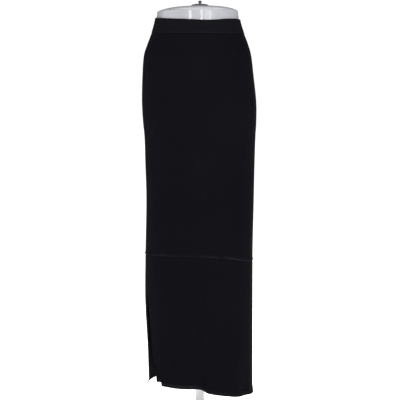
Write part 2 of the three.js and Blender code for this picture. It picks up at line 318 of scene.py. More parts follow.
def sheet_from_grid(columns, rows, spread, place):
    """A sheet whose place(u, v) gives each point and how much paler it is made, with u and v from 0
    to 1.
    """
    bm = bmesh.new()
    bmesh.ops.create_grid(bm, x_segments=columns, y_segments=rows, size=0.5)
    uv_layer = bm.loops.layers.uv.new("cloth")
    for face in bm.faces:
        for loop in face.loops:
            u, v = loop.vert.co.x + 0.5, loop.vert.co.y + 0.5
            loop[uv_layer].uv = (u * spread[0], v * spread[1])
    paling_layer = bm.verts.layers.float.new("paling_and_highlight")
    for vert in bm.verts:
        vert.co, vert[paling_layer] = place(vert.co.x + 0.5, vert.co.y + 0.5)
    return bm


def graded(v, length, low_band, high_band):
    """Distance along a length for row share v, with rows packed closer in a band at each end."""
    if v < LOW_SHARE:
        return low_band * v / LOW_SHARE
    if v > 1 - HIGH_SHARE:
        return length - high_band * (1 - v) / HIGH_SHARE
    middle = (v - LOW_SHARE) / (1 - LOW_SHARE - HIGH_SHARE)
    return low_band + (length - low_band - high_band) * middle


def add_thickness(piece, thickness):
    """Gives a sheet its thickness on its inner side, which takes the piece's second material."""
    solidify = piece.modifiers.new("cloth thickness", "SOLIDIFY")
    solidify.thickness = thickness
    solidify.offset = -1
    solidify.use_even_offset = False
    solidify.material_offset = 1


# %% [markdown]
# ## The upper and lower tiers
# Each tier is a front and a back. At the tier seam the cloth is folded and stitched into a low
# rounded ridge, and at the side seams the two edges roll in to a fine groove. The hem is the same
# sheet turned up inside, so its lower edge is a real fold of two layers. The slit's edges curl out
# a little, which is what catches the light down the skirt's side.

# %% Seams
RIDGE = {"high": 0.0018, "half": 0.0040, "pucker": 0.35, "drift": (0.9, 2.0, 5.0)}
RIDGE_SHADOW = {"deep": 0.0006, "wide": 0.0016}
RIDGE_PULL = {"deep": 0.0007, "fade": 0.015, "drift": (0.35, 7.0, 1.0)}
RIDGE_KNOT = {"at": 176, "wide": 2.6, "tall": 0.005, "high": 0.0016}  # the seam's bunched end
GROOVE = {"deep": 0.0011, "half": 0.0022}
MEAN_REACH = 0.130


def arc(from_angle, to_angle):
    """Length of cloth between two ring angles, near enough for seams."""
    return abs(math.radians(to_angle - from_angle)) * MEAN_REACH


def groove(distance):
    """The dip beside a side seam."""
    return -GROOVE["deep"] * bell(distance, GROOVE["half"])


def tier_ridge(angle, z):
    """The rounded ridge of the tier seam, with a small shadow line under it."""
    above = z - tier_height(angle)
    ridge = 0.0
    if abs(above) < RIDGE["half"]:
        pucker = 1 + RIDGE["pucker"] * wander(angle, *RIDGE["drift"])
        ridge = RIDGE["high"] * pucker * math.cos(math.pi * above / (2 * RIDGE["half"]))**2
    shadow = RIDGE_SHADOW["deep"] * bell(above + RIDGE["half"], RIDGE_SHADOW["wide"])
    fade = math.exp(-abs(above) / RIDGE_PULL["fade"])
    pull = RIDGE_PULL["deep"] * wander(angle, *RIDGE_PULL["drift"]) * fade
    knot = bell(angle - RIDGE_KNOT["at"], RIDGE_KNOT["wide"]) * bell(above, RIDGE_KNOT["tall"])
    return ridge - shadow + pull + RIDGE_KNOT["high"] * knot


# %% Painted highlights and a paler hem
PATCHES = {"rate": 0.11, "level": 0.5}
# painted highlight along the top of the tier seam's ridge
TIER_HIGHLIGHT = {"lane": 4.0, "least": 0.15, "most": 0.75, "above": 0.0006, "wide": 0.0030}
# a paler hem band
HEM_PALING = {"lane": 9.0, "least": 0.30, "most": 0.75, "full": 0.008, "gone": 0.0125}
PAST_DRAPE = dict(zip(STRETCH, (98, 116, 230, 260, 0.55)))


def patchy(angle, kind):
    """A paleness that drifts between its least and its most round the skirt."""
    share = 0.5 + wander(angle, PATCHES["rate"], kind["lane"], PATCHES["level"])
    return kind["least"] + (kind["most"] - kind["least"]) * min(max(share, 0.0), 1.0)


def tier_highlight(angle, z):
    """Painted highlight along the top of the tier seam's ridge, where the light from above falls on
    it.
    """
    above = z - tier_height(angle)
    return patchy(angle, TIER_HIGHLIGHT) * bell(above - TIER_HIGHLIGHT["above"], TIER_HIGHLIGHT["wide"])


def hem_paling(angle, above):
    """The hem band is made paler, more on the wearer's right of the long drape than past it."""
    strength = patchy(angle, HEM_PALING) * (1 - PAST_DRAPE["down"] * plateau(angle, PAST_DRAPE))
    return strength * (1 - ease(above, HEM_PALING["full"], HEM_PALING["gone"]))


# %% Edges of the tiers
EDGE_CURL = {"front": 0.0012, "back": 0.0002, "wide": 0.008}
SLIT_PARTS = 0.02  # stretch under the slit's top over which the seam's groove opens
CURL_GROWS = 0.12  # stretch over which the slit's edges reach their full curl


def slit_edge(half, z):
    """Ring angle of one edge of the slit, or of the closed seam above it."""
    if z >= SLIT_TOP:
        return SIDE_TURN
    edge = read_table(SLIT_EDGES, "under", half, SLIT_TOP - z)
    return max(edge, SIDE_TURN) if half == "front" else min(edge, SIDE_TURN)


def edges_of(half, z=SLIT_TOP):
    """The first and last ring angles of a half at one height, or where both its seams are sewn."""
    if half == "front":
        return slit_edge(half, z), SIDE_TURN + 180
    return SIDE_TURN - 180, slit_edge(half, z)


def angle_at(edges, share):
    """The ring angle at a share of the way across a half."""
    return edges[0] + (edges[1] - edges[0]) * share


def edge_shape(half, angle, z, edges):
    """How the cloth dips into a side seam, or curls out along the slit."""
    at_slit, at_seam = edges if half == "front" else edges[::-1]
    slit_distance = arc(angle, at_slit)
    opened = ease(SLIT_TOP - z, 0.0, SLIT_PARTS)
    shape = groove(arc(angle, at_seam)) + groove(slit_distance) * (1 - opened)
    curl = EDGE_CURL[half] * bell(slit_distance, EDGE_CURL["wide"])
    return shape + curl * opened * ease(SLIT_TOP - z, 0.0, CURL_GROWS)


# %% Build the upper tier
CLOTH_THICKNESS = 0.0010
FINE_BAND = 0.016  # stretch beside a seam where the grid's rows are packed closer
PANEL_COLUMNS = 150
UPPER_ROWS = 190
UPPER_SPREAD = (0.435, 0.605)  # the panel's mean width and its length as it hangs
TUCK = {"deep": 0.0002, "tall": 0.003}  # the panel's top edge rolls in under the waistband


def upper_tier(half):
    """One half of the upper tier, from the tier seam to just under the waistband."""
    edges = edges_of(half)

    def place(u, v):
        angle = angle_at(edges, u)
        low, high = tier_height(angle), line_height(BAND_LINE, angle)
        z = low + graded(v, high - low, FINE_BAND, FINE_BAND / 2)
        out = tier_ridge(angle, z) + edge_shape(half, angle, z, edges)
        out -= TUCK["deep"] * bell(high - z, TUCK["tall"])
        return cloth_point(angle, z, out), tier_highlight(angle, z)
    bm = sheet_from_grid(PANEL_COLUMNS, UPPER_ROWS, UPPER_SPREAD, place)
    piece = finish_mesh(bm, f"upper_tier_{half}")
    add_thickness(piece, CLOTH_THICKNESS)
    return settle(piece, f"upper_{half}")


upper_pieces = {half: upper_tier(half) for half in HALVES}
print("upper tier:", len(upper_pieces["front"].data.polygons), "faces a half")

# %% Build the lower tier with its turned-up hem
LOWER_ROWS = 180
LOWER_SPREAD = (0.425, 0.385)
TURN_UP_SHARE = 0.07  # share of the grid's rows inside the hem
FOLD_SHARE = 0.04  # share of the rows round the fold itself
LAYER_GAP = 0.0022  # from the outer face to the turned-up layer's face
HEM_DEPTH = 0.011
TURN_UP = HEM_DEPTH + 0.001  # height that the turned-up layer reaches
HEM_BAND = {"proud": 0.0010, "full": HEM_DEPTH - 0.0006, "gone": HEM_DEPTH + 0.0016}
HEM_KICK = {"out": 0.0017, "tall": 0.012, "power": 1.5}
SLIT_CROWDING = 0.5


def hem_stand(above):
    """How far the outer face stands out near the hem: a low band with a kicked-out edge."""
    band = HEM_BAND["proud"] * (1 - ease(above, HEM_BAND["full"], HEM_BAND["gone"]))
    kick = (1 - ease(above, 0.0, HEM_KICK["tall"]))**HEM_KICK["power"]
    return band + HEM_KICK["out"] * kick


def hem_path(v, height):
    """Height above the hem and inward offset along the sheet, from its inner edge round and up."""
    radius = LAYER_GAP / 2
    if v < TURN_UP_SHARE:
        return radius + (TURN_UP - radius) * (1 - v / TURN_UP_SHARE), -LAYER_GAP
    if v < TURN_UP_SHARE + FOLD_SHARE:
        turn = math.pi * (v - TURN_UP_SHARE) / FOLD_SHARE
        return radius - radius * math.sin(turn), -radius - radius * math.cos(turn)
    share = (v - TURN_UP_SHARE - FOLD_SHARE) / (1 - TURN_UP_SHARE - FOLD_SHARE)
    return radius + graded(share, height - radius, FINE_BAND, FINE_BAND), 0.0


def toward_slit(half, u):
    """Spreads a row's columns so that they stand closer beside the slit."""
    near = u if half == "front" else 1 - u
    near *= 1 - SLIT_CROWDING + SLIT_CROWDING * near
    return near if half == "front" else 1 - near


def lower_tier(half):
    """One half of the lower tier, from the turned-up layer of its hem to the tier seam."""
    def place(u, v):
        share = toward_slit(half, u)
        angle = angle_at(edges_of(half), share)
        z = hem_height(angle)
        z += hem_path(v, tier_height(angle) - z)[0]
        edges = edges_of(half, z)
        angle = angle_at(edges, share)
        hem = hem_height(angle)
        above, inward = hem_path(v, tier_height(angle) - hem)
        z = hem + above
        out = inward + hem_stand(above) + edge_shape(half, angle, z, edges) + tier_ridge(angle, z)
        return cloth_point(angle, z, out), tier_highlight(angle, z) + hem_paling(angle, above)
    bm = sheet_from_grid(PANEL_COLUMNS, LOWER_ROWS, LOWER_SPREAD, place)
    piece = finish_mesh(bm, f"lower_tier_{half}")
    add_thickness(piece, CLOTH_THICKNESS)
    return settle(piece, f"lower_{half}")


lower_pieces = {half: lower_tier(half) for half in HALVES}
print("lower tier:", len(lower_pieces["front"].data.polygons), "faces a half")

# %% [markdown]
# ## The waistband
# A waistband is one strip folded double over elastic. Seen on end it is a hairpin with a round
# top, so its grid runs up the outer face, over the fold and down the inner face.
# The elastic gathers it into very fine upright puckers.

# %% Build the waistband
BAND_COLUMNS = 240
BAND_ROWS = 44
BAND_PROUD = 0.0007
BAND_THICK = 0.0030
BAND_BELLY = 0.0005
BAND_GAP = 0.0002  # from the panel's top edge to the band's lower edge
BAND_GROOVE = 0.6  # how deep its side seams are, beside a tier's
BAND_PUCKER = {"deep": 0.00028, "round": 1.15, "down": 1.4, "level": 3.0}
# painted highlight along the band's lower edge, strongest at the middle of the front
BAND_HIGHLIGHT = {"least": 0.06, "more": 0.32, "at": 112, "wide": 30, "above": 0.001, "tall": 0.0022}


def band_section(v, height):
    """Height and offset up the outer face, over the fold and down the inner face."""
    radius = BAND_THICK / 2
    straight = height - radius
    along = v * (2 * straight + math.pi * radius)
    if along < straight:
        return along, BAND_PROUD + BAND_BELLY * math.sin(math.pi * along / straight)
    along -= straight
    if along < math.pi * radius:
        turn = along / radius
        return straight + radius * math.sin(turn), BAND_PROUD - radius + radius * math.cos(turn)
    return straight - (along - math.pi * radius), BAND_PROUD - BAND_THICK


def band_highlight(angle, v, above):
    """Painted highlight along the lower edge of the band's outer face, where it catches the light,
    strongest at the middle of the front.
    """
    if v > 0.5:
        return 0.0
    strength = BAND_HIGHLIGHT["least"] + BAND_HIGHLIGHT["more"] * bell(angle - BAND_HIGHLIGHT["at"], BAND_HIGHLIGHT["wide"])
    return strength * bell(above - BAND_HIGHLIGHT["above"], BAND_HIGHLIGHT["tall"])


def waistband(half):
    """One half of the waistband, folded double."""
    first, last = edges_of(half)

    def place(u, v):
        angle = angle_at((first, last), u)
        low = line_height(BAND_LINE, angle) + BAND_GAP
        height = waist_height(angle) - low
        above, out = band_section(v, height)
        share = above / height
        pucker = wander(angle, BAND_PUCKER["round"], share * BAND_PUCKER["down"],
                        BAND_PUCKER["level"])
        out += BAND_PUCKER["deep"] * pucker * math.sin(math.pi * min(max(share, 0.0), 1.0))
        out += groove(min(arc(angle, first), arc(angle, last))) * BAND_GROOVE
        return ring_point(angle, low + above, out), band_highlight(angle, v, above)
    bm = sheet_from_grid(BAND_COLUMNS, BAND_ROWS, BAND_CUT, place)
    piece = finish_mesh(bm, f"waistband_strip_{half}")
    add_thickness(piece, CLOTH_THICKNESS)
    return settle(piece, f"waistband_{half}")


band_pieces = {half: waistband(half) for half in HALVES}
print("waistband:", len(band_pieces["front"].data.polygons), "faces a half")

# %% [markdown]
# ## Turned edges of the slit
# Down either side of the slit the cloth is turned in and stitched. Seen through the opening this
# is a second narrow layer, so each is its own thin strip just inside its panel's edge.

# %% Build the slit's turned edges
TURNING_COLUMNS = 10
TURNING_ROWS = 120
TURNING_THICKNESS = 0.0008
TURNING_INSET = 0.12  # degrees from the panel's edge
TURNING_FOOT = {"z": 0.10, "beside": 1.2, "up": 0.0015}
TURNING_ROLL = {"out": 0.0009, "power": 6}  # the strip's outer edge rolls against its panel
# painted light on the slit's turned edges, which lifts the shaded strip seen through the opening
TURNING_LIGHT = 0.3
SLIT_HEAD = SLIT_TOP - 0.004  # where the turnings and their stitches end


def beside_slit(half, z, distance):
    """Ring angle at a distance from one edge of the slit."""
    return slit_edge(half, z) + OUTWARD[half] * math.degrees(distance / MEAN_REACH)


def slit_stand(half, angle, z):
    """How far the cloth stands out beside the slit."""
    return edge_shape(half, angle, z, edges_of(half, z)) + hem_stand(z - hem_height(angle))


def turned_edge(half):
    """The narrow layer behind one edge of the slit."""
    foot_angle = slit_edge(half, TURNING_FOOT["z"]) + OUTWARD[half] * TURNING_FOOT["beside"]
    foot = hem_height(foot_angle) + TURNING_FOOT["up"]

    def place(u, v):
        z = foot + (SLIT_HEAD - foot) * v
        angle = beside_slit(half, z, TURNING_CUT[0] * u) + OUTWARD[half] * TURNING_INSET
        roll = TURNING_ROLL["out"] * (1 - u)**TURNING_ROLL["power"]
        return cloth_point(angle, z, slit_stand(half, angle, z) - LAYER_GAP + roll), TURNING_LIGHT
    bm = sheet_from_grid(TURNING_COLUMNS, TURNING_ROWS, TURNING_CUT, place)
    bmesh.ops.reverse_faces(bm, faces=bm.faces)
    piece = finish_mesh(bm, f"slit_turning_{half}")
    add_thickness(piece, TURNING_THICKNESS)
    return settle(piece)


turned_edges = {half: turned_edge(half) for half in HALVES}
print("slit turnings reach from", round(hem_height(SIDE_TURN), 3), "to", SLIT_HEAD, "m")

# %% [markdown]
# ## Stitching
# A sewing machine leaves a row of short even stitches. One stitch is a tiny rounded grain of
# thread, lying in the cloth's surface along the row. Hundreds are needed, so each is a low icosphere
# stretched by its own matrix, and a whole row is one mesh.

# %% Lay a row of stitches
STITCH_LENGTH = 0.0030
STITCH_PITCH = 0.0036
STITCH_RADIUS = 0.00032
STITCH_HEIGHT = 1.4  # of its radius, so that it stands a little proud
STEEP = 0.8  # a row that climbs more than this takes its sideways line from +X


def stitch_row(name, point_at, length):
    """A row of stitches along point_at(t), which gives a place on the cloth for t from 0 to 1."""
    bm = bmesh.new()
    count = int(length / STITCH_PITCH)
    half_step = 0.5 * STITCH_PITCH / length
    size = Matrix.Diagonal((STITCH_LENGTH / 2, STITCH_RADIUS, STITCH_RADIUS * STITCH_HEIGHT, 1))
    for index in range(count):
        t = (index + 0.5) / count
        along = (point_at(t + half_step) - point_at(t - half_step)).normalized()
        reference = Vector((0, 0, 1)) if abs(along.z) < STEEP else Vector((1, 0, 0))
        across = along.cross(reference).normalized()
        turn = Matrix((along, across, across.cross(along))).transposed().to_4x4()
        place = Matrix.Translation(point_at(t)) @ turn @ size
        bmesh.ops.create_icosphere(bm, subdivisions=1, radius=1, matrix=place)
    return settle(finish_mesh(bm, name))


# %% Rows on the hem, the tier seam, the waistband and the slit
HEM_STITCHES = (0.0058, 0.0096)  # heights above the hem's edge
TIER_STITCHES = 0.0068
BAND_STITCHES = 0.0036
SLIT_STITCHES = {"low": 0.115, "beside": 0.0095}
STITCH_LIFT = 0.0001
ROW_INSET = 0.5  # degrees from either edge of a half
FRONT_OF_SLIT = 60  # ring angle whose hem height sets where the hem's rows begin


def angle_in(edges, t):
    """The ring angle at a share of a row, which ends a little short of both edges."""
    first, last = edges
    return first + ROW_INSET + (last - first - 2 * ROW_INSET) * t


def hem_row(half, above):
    """Places on the hem band, for a row at one height above the edge."""
    def point_at(t):
        angle = angle_in(edges_of(half, hem_height(FRONT_OF_SLIT) + above), t)
        return cloth_point(angle, hem_height(angle) + above, hem_stand(above) + STITCH_LIFT)
    return point_at


def tier_row(half):
    """Places just above the tier seam's ridge."""
    def point_at(t):
        angle = angle_in(edges_of(half), t)
        z = tier_height(angle) + TIER_STITCHES
        return cloth_point(angle, z, tier_ridge(angle, z) + STITCH_LIFT)
    return point_at


def band_row(half):
    """Places along the waistband's lower edge."""
    def point_at(t):
        angle = angle_in(edges_of(half), t)
        z = line_height(BAND_LINE, angle) + BAND_STITCHES
        return ring_point(angle, z, BAND_PROUD + 2 * STITCH_LIFT)
    return point_at


def slit_row(half):
    """Places down one side of the slit, through its turned edge."""
    def point_at(t):
        z = SLIT_STITCHES["low"] + (SLIT_HEAD - SLIT_STITCHES["low"]) * t
        angle = beside_slit(half, z, SLIT_STITCHES["beside"])
        return cloth_point(angle, z, slit_stand(half, angle, z) + STITCH_LIFT)
    return point_at


# %% Sew every row
HALF_ROUND = 0.42
BAND_ROUND = 0.34

stitch_rows = []
for half in HALVES:
    for number, above in enumerate(HEM_STITCHES, 1):
        name = f"hem_stitches_{half}_{number}"
        stitch_rows.append(stitch_row(name, hem_row(half, above), HALF_ROUND))
    stitch_rows.append(stitch_row(f"tier_stitches_{half}", tier_row(half), HALF_ROUND))
for half in HALVES:
    stitch_rows.append(stitch_row(f"waistband_stitches_{half}", band_row(half), BAND_ROUND))
    slit_length = SLIT_TOP - SLIT_STITCHES["low"]
    stitch_rows.append(stitch_row(f"slit_stitches_{half}", slit_row(half), slit_length))
print(len(stitch_rows), "rows of stitches")

# %% [markdown]
# ## The dress form
# The form is a moulded shell with an open bottom and a softly domed top. A sphere already has the
# right topology for a cup: its lower pole becomes the middle of the ceiling, its rings run down
# inside, round the rim and up outside, and its upper pole is the middle of the top.

# %% Profile of the form
FORM_INSETS = table(("z", "inset"), (  # from the cloth's outer face to the form under it
    (0.762, 0.022),
    (0.770, 0.013),
    (0.790, 0.006),
    (0.827, 0.0032),
    (1.120, 0.0032),
))
FORM_WALL = 0.004
FORM_FOOT = FORM_INSETS[0]["z"]
RIM_HEIGHT = 1.119
DOME_HEIGHT = 0.0164
FLAT_RADIUS = 0.030
CEILING = RIM_HEIGHT + DOME_HEIGHT - FORM_WALL - 0.0015
DOME_ROWS = table(("inwards", "up"), (
    (0, 0), (0.01, 0.09), (0.04, 0.20), (0.12, 0.38), (0.26, 0.60),
    (0.44, 0.80), (0.62, 0.92), (0.82, 0.98), (1, 1),
))
CEILING_ROWS = table(("inwards", "under"), (
    (0, 0.022), (0.06, 0.012), (0.22, 0.004), (0.42, 0), (1, 0),
))
INSIDE_TOP = CEILING - CEILING_ROWS[0]["under"] - 0.001
OUTSIDE_TOP = RIM_HEIGHT - 0.0005


def form_point(angle, z, extra):
    """A point on the form's side, as far inside its outer face as extra says."""
    return ring_point(angle, z, -read_table(FORM_INSETS, "z", "inset", z) - extra)


def dome_point(angle, inwards, z, extra):
    """A point on the dome or the ceiling, a share of the way from the rim to the flat middle."""
    rim = form_point(angle, RIM_HEIGHT, extra)
    turn = math.radians(angle)
    centre = Vector((-FLAT_RADIUS * math.cos(turn), -FLAT_RADIUS * math.sin(turn)))
    flat = rim.xy.lerp(centre, inwards)
    return Vector((flat.x, flat.y, z))


# %% Build the form
STATIONS = {"ceiling": 14, "inside": 30, "outside": 70, "dome": 26}
FORM_SEGMENTS = 112
DOME_CROWDING = 1.6  # packs the dome's rings closer at its rim


def form_station(index, angle):
    """The point of one ring of the shell, counted from the middle of the ceiling."""
    if index < STATIONS["ceiling"]:
        inwards = 1 - (index + 0.5) / STATIONS["ceiling"]
        under = read_table(CEILING_ROWS, "inwards", "under", inwards)
        return dome_point(angle, inwards, CEILING - under, FORM_WALL)
    index -= STATIONS["ceiling"]
    if index < STATIONS["inside"]:
        share = index / (STATIONS["inside"] - 1)
        return form_point(angle, INSIDE_TOP + (FORM_FOOT - INSIDE_TOP) * share, FORM_WALL)
    index -= STATIONS["inside"]
    if index < STATIONS["outside"]:
        share = index / (STATIONS["outside"] - 1)
        return form_point(angle, FORM_FOOT + (OUTSIDE_TOP - FORM_FOOT) * share, 0)
    index -= STATIONS["outside"]
    inwards = (index / (STATIONS["dome"] - 1))**DOME_CROWDING
    up = read_table(DOME_ROWS, "inwards", "up", inwards)
    return dome_point(angle, inwards, RIM_HEIGHT + DOME_HEIGHT * up, 0)


def dress_form():
    """The shell, from a sphere whose rings are moved to their stations."""
    rings = sum(STATIONS.values())
    bm = bmesh.new()
    bmesh.ops.create_uvsphere(bm, u_segments=FORM_SEGMENTS, v_segments=rings + 1, radius=1)
    for vert in bm.verts:
        if abs(vert.co.z) > 1 - MESH_MARGIN:
            top = vert.co.z > 0
            vert.co = Vector((0, 0, RIM_HEIGHT + DOME_HEIGHT if top else CEILING))
            continue
        latitude = math.asin(vert.co.z) / math.pi + 0.5
        index = round(latitude * (rings + 1)) - 1
        angle = math.degrees(math.atan2(-vert.co.y, -vert.co.x))
        vert.co = form_station(index, angle)
    bmesh.ops.recalc_face_normals(bm, faces=bm.faces)
    return settle(finish_mesh(bm, "hip_form"), "form_shell")


hip_form = dress_form()
print("hip form:", len(hip_form.data.polygons), "faces")

# %% [markdown]
# ## The stand and the cap
# Pole, base, neck cap and knob are turned parts. Each starts as half of its outline, and a full spin
# makes it round. A small bevel follows on the sharp corners, because real edges are never perfectly
# sharp and the bevel is what shines.

# %% Turn a profile
TURN_STEPS = 96
SLIM_STEPS = 48
SHARP_ANGLE = math.radians(24)


def turned_piece(name, node, profile, edge, steps=TURN_STEPS):
    """Spins (radius, height) corners round the pole's axis and rounds the sharp ones by edge."""
    bm = bmesh.new()
    verts = [bm.verts.new((radius, 0, height)) for radius, height in profile]
    edges = [bm.edges.new(pair) for pair in zip(verts, verts[1:])]
    bmesh.ops.spin(bm, geom=verts + edges, cent=(0, 0, 0), axis=(0, 0, 1), angle=2 * math.pi,
                   steps=steps, use_merge=True)
    bmesh.ops.remove_doubles(bm, verts=bm.verts, dist=MESH_MARGIN * 10)
    bmesh.ops.recalc_face_normals(bm, faces=bm.faces)
    sharp = [e for e in bm.edges if len(e.link_faces) == 2 and e.calc_face_angle() > SHARP_ANGLE]
    bmesh.ops.bevel(bm, geom=sharp, offset=edge, offset_type="OFFSET", segments=3, profile=0.5,
                    affect="EDGES", material=-1)
    return settle(finish_mesh(bm, name), node)


# %% Build the stand and the cap
SEAT = 0.0003
HUB_HEIGHT = 0.022
FLANGE_TOP = CEILING - SEAT
FLANGE_FOOT = FLANGE_TOP - 0.006
CAP_FOOT = RIM_HEIGHT + DOME_HEIGHT + SEAT
CAP_HEIGHT = 0.0076
KNOB_FOOT = CAP_FOOT + CAP_HEIGHT + SEAT

base_disc = turned_piece("base_disc", "base_plate", (
    (0, 0), (0.140, 0), (0.140, 0.006), (0.137, 0.008), (0.060, 0.0112), (0.042, 0.0125),
    (0.034, 0.0138), (0.030, 0.0165), (0.027, 0.0200), (0.024, HUB_HEIGHT), (0, HUB_HEIGHT),
), edge=0.0005)
stand_pole = turned_piece("stand_pole", "support_pole", (
    (0, HUB_HEIGHT + SEAT), (0.0125, HUB_HEIGHT + SEAT), (0.0125, FLANGE_FOOT - 0.014),
    (0.0155, FLANGE_FOOT - 0.004), (0.0225, FLANGE_FOOT), (0.036, FLANGE_FOOT),
    (0.036, FLANGE_TOP), (0, FLANGE_TOP),
), edge=0.0006, steps=SLIM_STEPS)
cap_disc = turned_piece("cap_disc", "neck_cap", (
    (0, CAP_FOOT), (0.026, CAP_FOOT), (0.0256, CAP_FOOT + 0.0016), (0.0248, CAP_FOOT + 0.0030),
    (0.0232, CAP_FOOT + 0.0042), (0.021, CAP_FOOT + 0.0051), (0.018, CAP_FOOT + 0.0059),
    (0.0145, CAP_FOOT + 0.0066), (0.011, CAP_FOOT + 0.0071), (0.007, CAP_FOOT + CAP_HEIGHT),
    (0, CAP_FOOT + CAP_HEIGHT),
), edge=0.0004)
top_knob = turned_piece("top_knob", "cap_knob", (
    (0, KNOB_FOOT), (0.003, KNOB_FOOT), (0.003, KNOB_FOOT + 0.002), (0.005, KNOB_FOOT + 0.003),
    (0.005, KNOB_FOOT + 0.006), (0.003, KNOB_FOOT + 0.008), (0, KNOB_FOOT + 0.008),
), edge=0.0004, steps=SLIM_STEPS)
print("cap stands at", round(CAP_FOOT, 4), "m")

# %% [markdown]
# ## Finishes
# Shared effects are node groups, each with its own inputs, so that two materials can use one effect
# at different strengths. A group gives only masks and heights. The shader stays in its material.

# %% Node helpers
FLOAT, VECTOR = "NodeSocketFloat", "NodeSocketVector"


def new_group(name, inputs, outputs):
    """An empty node group with named sockets, and its two end nodes."""
    group = bpy.data.node_groups.new(name, "ShaderNodeTree")
    for label, kind, value in inputs:
        socket = group.interface.new_socket(name=label, in_out="INPUT", socket_type=kind)
        if value is not None:
            socket.default_value = value
    for label, kind in outputs:
        group.interface.new_socket(name=label, in_out="OUTPUT", socket_type=kind)
    start = group.nodes.new("NodeGroupInput")
    end = group.nodes.new("NodeGroupOutput")
    return group, start, end


def maths(tree, operation, first, second=None, clamp=False):
    """A Math node whose inputs are numbers or other nodes' sockets."""
    node = tree.nodes.new("ShaderNodeMath")
    node.operation = operation
    node.use_clamp = clamp
    for socket, value in zip(node.inputs, (first, second)):
        if isinstance(value, (int, float)):
            socket.default_value = value
        elif value is not None:
            tree.links.new(value, socket)
    return node.outputs[0]


# %% The knit group
LOOP_SLANT = 0.75  # how far a loop's legs climb across its width, in loops


def knit_group():
    """Jersey's columns of V-shaped loops, from a UV map in metres."""
    group, start, end = new_group(
        "Jersey knit",
        (("UV", VECTOR, None), ("Loop width", FLOAT, 0.0011), ("Loop height", FLOAT, 0.0009)),
        (("Height", FLOAT),))
    split = group.nodes.new("ShaderNodeSeparateXYZ")
    group.links.new(start.outputs["UV"], split.inputs[0])
    across = maths(group, "DIVIDE", split.outputs["X"], start.outputs["Loop width"])
    centred = maths(group, "SUBTRACT", maths(group, "FRACT", across), 0.5)
    leg = maths(group, "MULTIPLY", maths(group, "ABSOLUTE", centred), 2.0)
    course = maths(group, "DIVIDE", split.outputs["Y"], start.outputs["Loop height"])
    slanted = maths(group, "ADD", course, maths(group, "MULTIPLY", leg, LOOP_SLANT))
    share = maths(group, "FRACT", slanted)
    strand = maths(group, "SINE", maths(group, "MULTIPLY", share, math.pi))
    rounded = maths(group, "SINE", maths(group, "MULTIPLY", leg, math.pi))
    height = maths(group, "MULTIPLY", strand, maths(group, "POWER", rounded, 0.5))
    group.links.new(height, end.inputs["Height"])
    return group


# %% The patchy-tone group
def tone_group():
    """Large soft patches and a finer mottle, for dye, dust and handling."""
    group, start, end = new_group(
        "Patchy tone",
        (("Vector", VECTOR, None), ("Patch scale", FLOAT, 6.0), ("Fine scale", FLOAT, 90.0)),
        (("Patches", FLOAT), ("Mottle", FLOAT)))
    for scale, detail, result in (("Patch scale", 3.0, "Patches"), ("Fine scale", 4.0, "Mottle")):
        texture = group.nodes.new("ShaderNodeTexNoise")
        texture.inputs["Detail"].default_value = detail
        group.links.new(start.outputs["Vector"], texture.inputs["Vector"])
        group.links.new(start.outputs[scale], texture.inputs["Scale"])
        group.links.new(texture.outputs["Fac"], end.inputs[result])
    return group


# %% The lint group
LINT_RARITY = 0.93  # share of the cells that hold no lint


def lint_group():
    """A few pale fibres and specks that black cloth always gathers."""
    group, start, end = new_group(
        "Lint", (("Vector", VECTOR, None), ("Scale", FLOAT, 300.0), ("Amount", FLOAT, 0.1)),
        (("Mask", FLOAT),))
    cells = group.nodes.new("ShaderNodeTexVoronoi")
    cells.inputs["Randomness"].default_value = 1.0
    group.links.new(start.outputs["Vector"], cells.inputs["Vector"])
    group.links.new(start.outputs["Scale"], cells.inputs["Scale"])
    picked = maths(group, "LESS_THAN", cells.outputs["Distance"], start.outputs["Amount"])
    split = group.nodes.new("ShaderNodeSeparateColor")
    group.links.new(cells.outputs["Color"], split.inputs[0])
    rare = maths(group, "GREATER_THAN", split.outputs[0], LINT_RARITY)
    group.links.new(maths(group, "MULTIPLY", picked, rare), end.inputs["Mask"])
    return group


KNIT, TONE, LINT = knit_group(), tone_group(), lint_group()
print("node groups:", KNIT.name, "/", TONE.name, "/", LINT.name)

# %% Material helpers
def new_material(name):
    """A material, its node tree and its shader."""
    material = bpy.data.materials.new(name)
    material.use_nodes = True
    tree = material.node_tree
    return material, tree, tree.nodes["Principled BSDF"]


def set_inputs(shader, values):
    """Sets what is the same all over a surface on the shader's own sockets."""
    for label, value in values.items():
        shader.inputs[label].default_value = value


def use_group(tree, group, **values):
    """Places a group, with numbers or other nodes' sockets for its inputs."""
    node = tree.nodes.new("ShaderNodeGroup")
    node.node_tree = group
    for label, value in values.items():
        socket = node.inputs[label.replace("_", " ")]
        if isinstance(value, (int, float)):
            socket.default_value = value
        else:
            tree.links.new(value, socket)
    return node


def blend_colours(tree, factor, dark, light):
    """A mix from dark to light. Where dark is a socket, another mix gives the darker colour."""
    mix = tree.nodes.new("ShaderNodeMix")
    mix.data_type = "RGBA"
    if isinstance(dark, tuple):
        mix.inputs["A"].default_value = (*dark, 1)
    else:
        tree.links.new(dark, mix.inputs["A"])
    mix.inputs["B"].default_value = (*light, 1)
    tree.links.new(factor, mix.inputs["Factor"])
    return mix.outputs["Result"]


def add_bump(tree, shader, height, strength, distance):
    """Puts a height on a shader as bump, with its full depth in metres as distance."""
    bump = tree.nodes.new("ShaderNodeBump")
    bump.inputs["Strength"].default_value = strength
    bump.inputs["Distance"].default_value = distance
    tree.links.new(height, bump.inputs["Height"])
    tree.links.new(bump.outputs["Normal"], shader.inputs["Normal"])


def coordinates(tree, kind="Object"):
    """Places on a piece, in metres."""
    return tree.nodes.new("ShaderNodeTexCoord").outputs[kind]
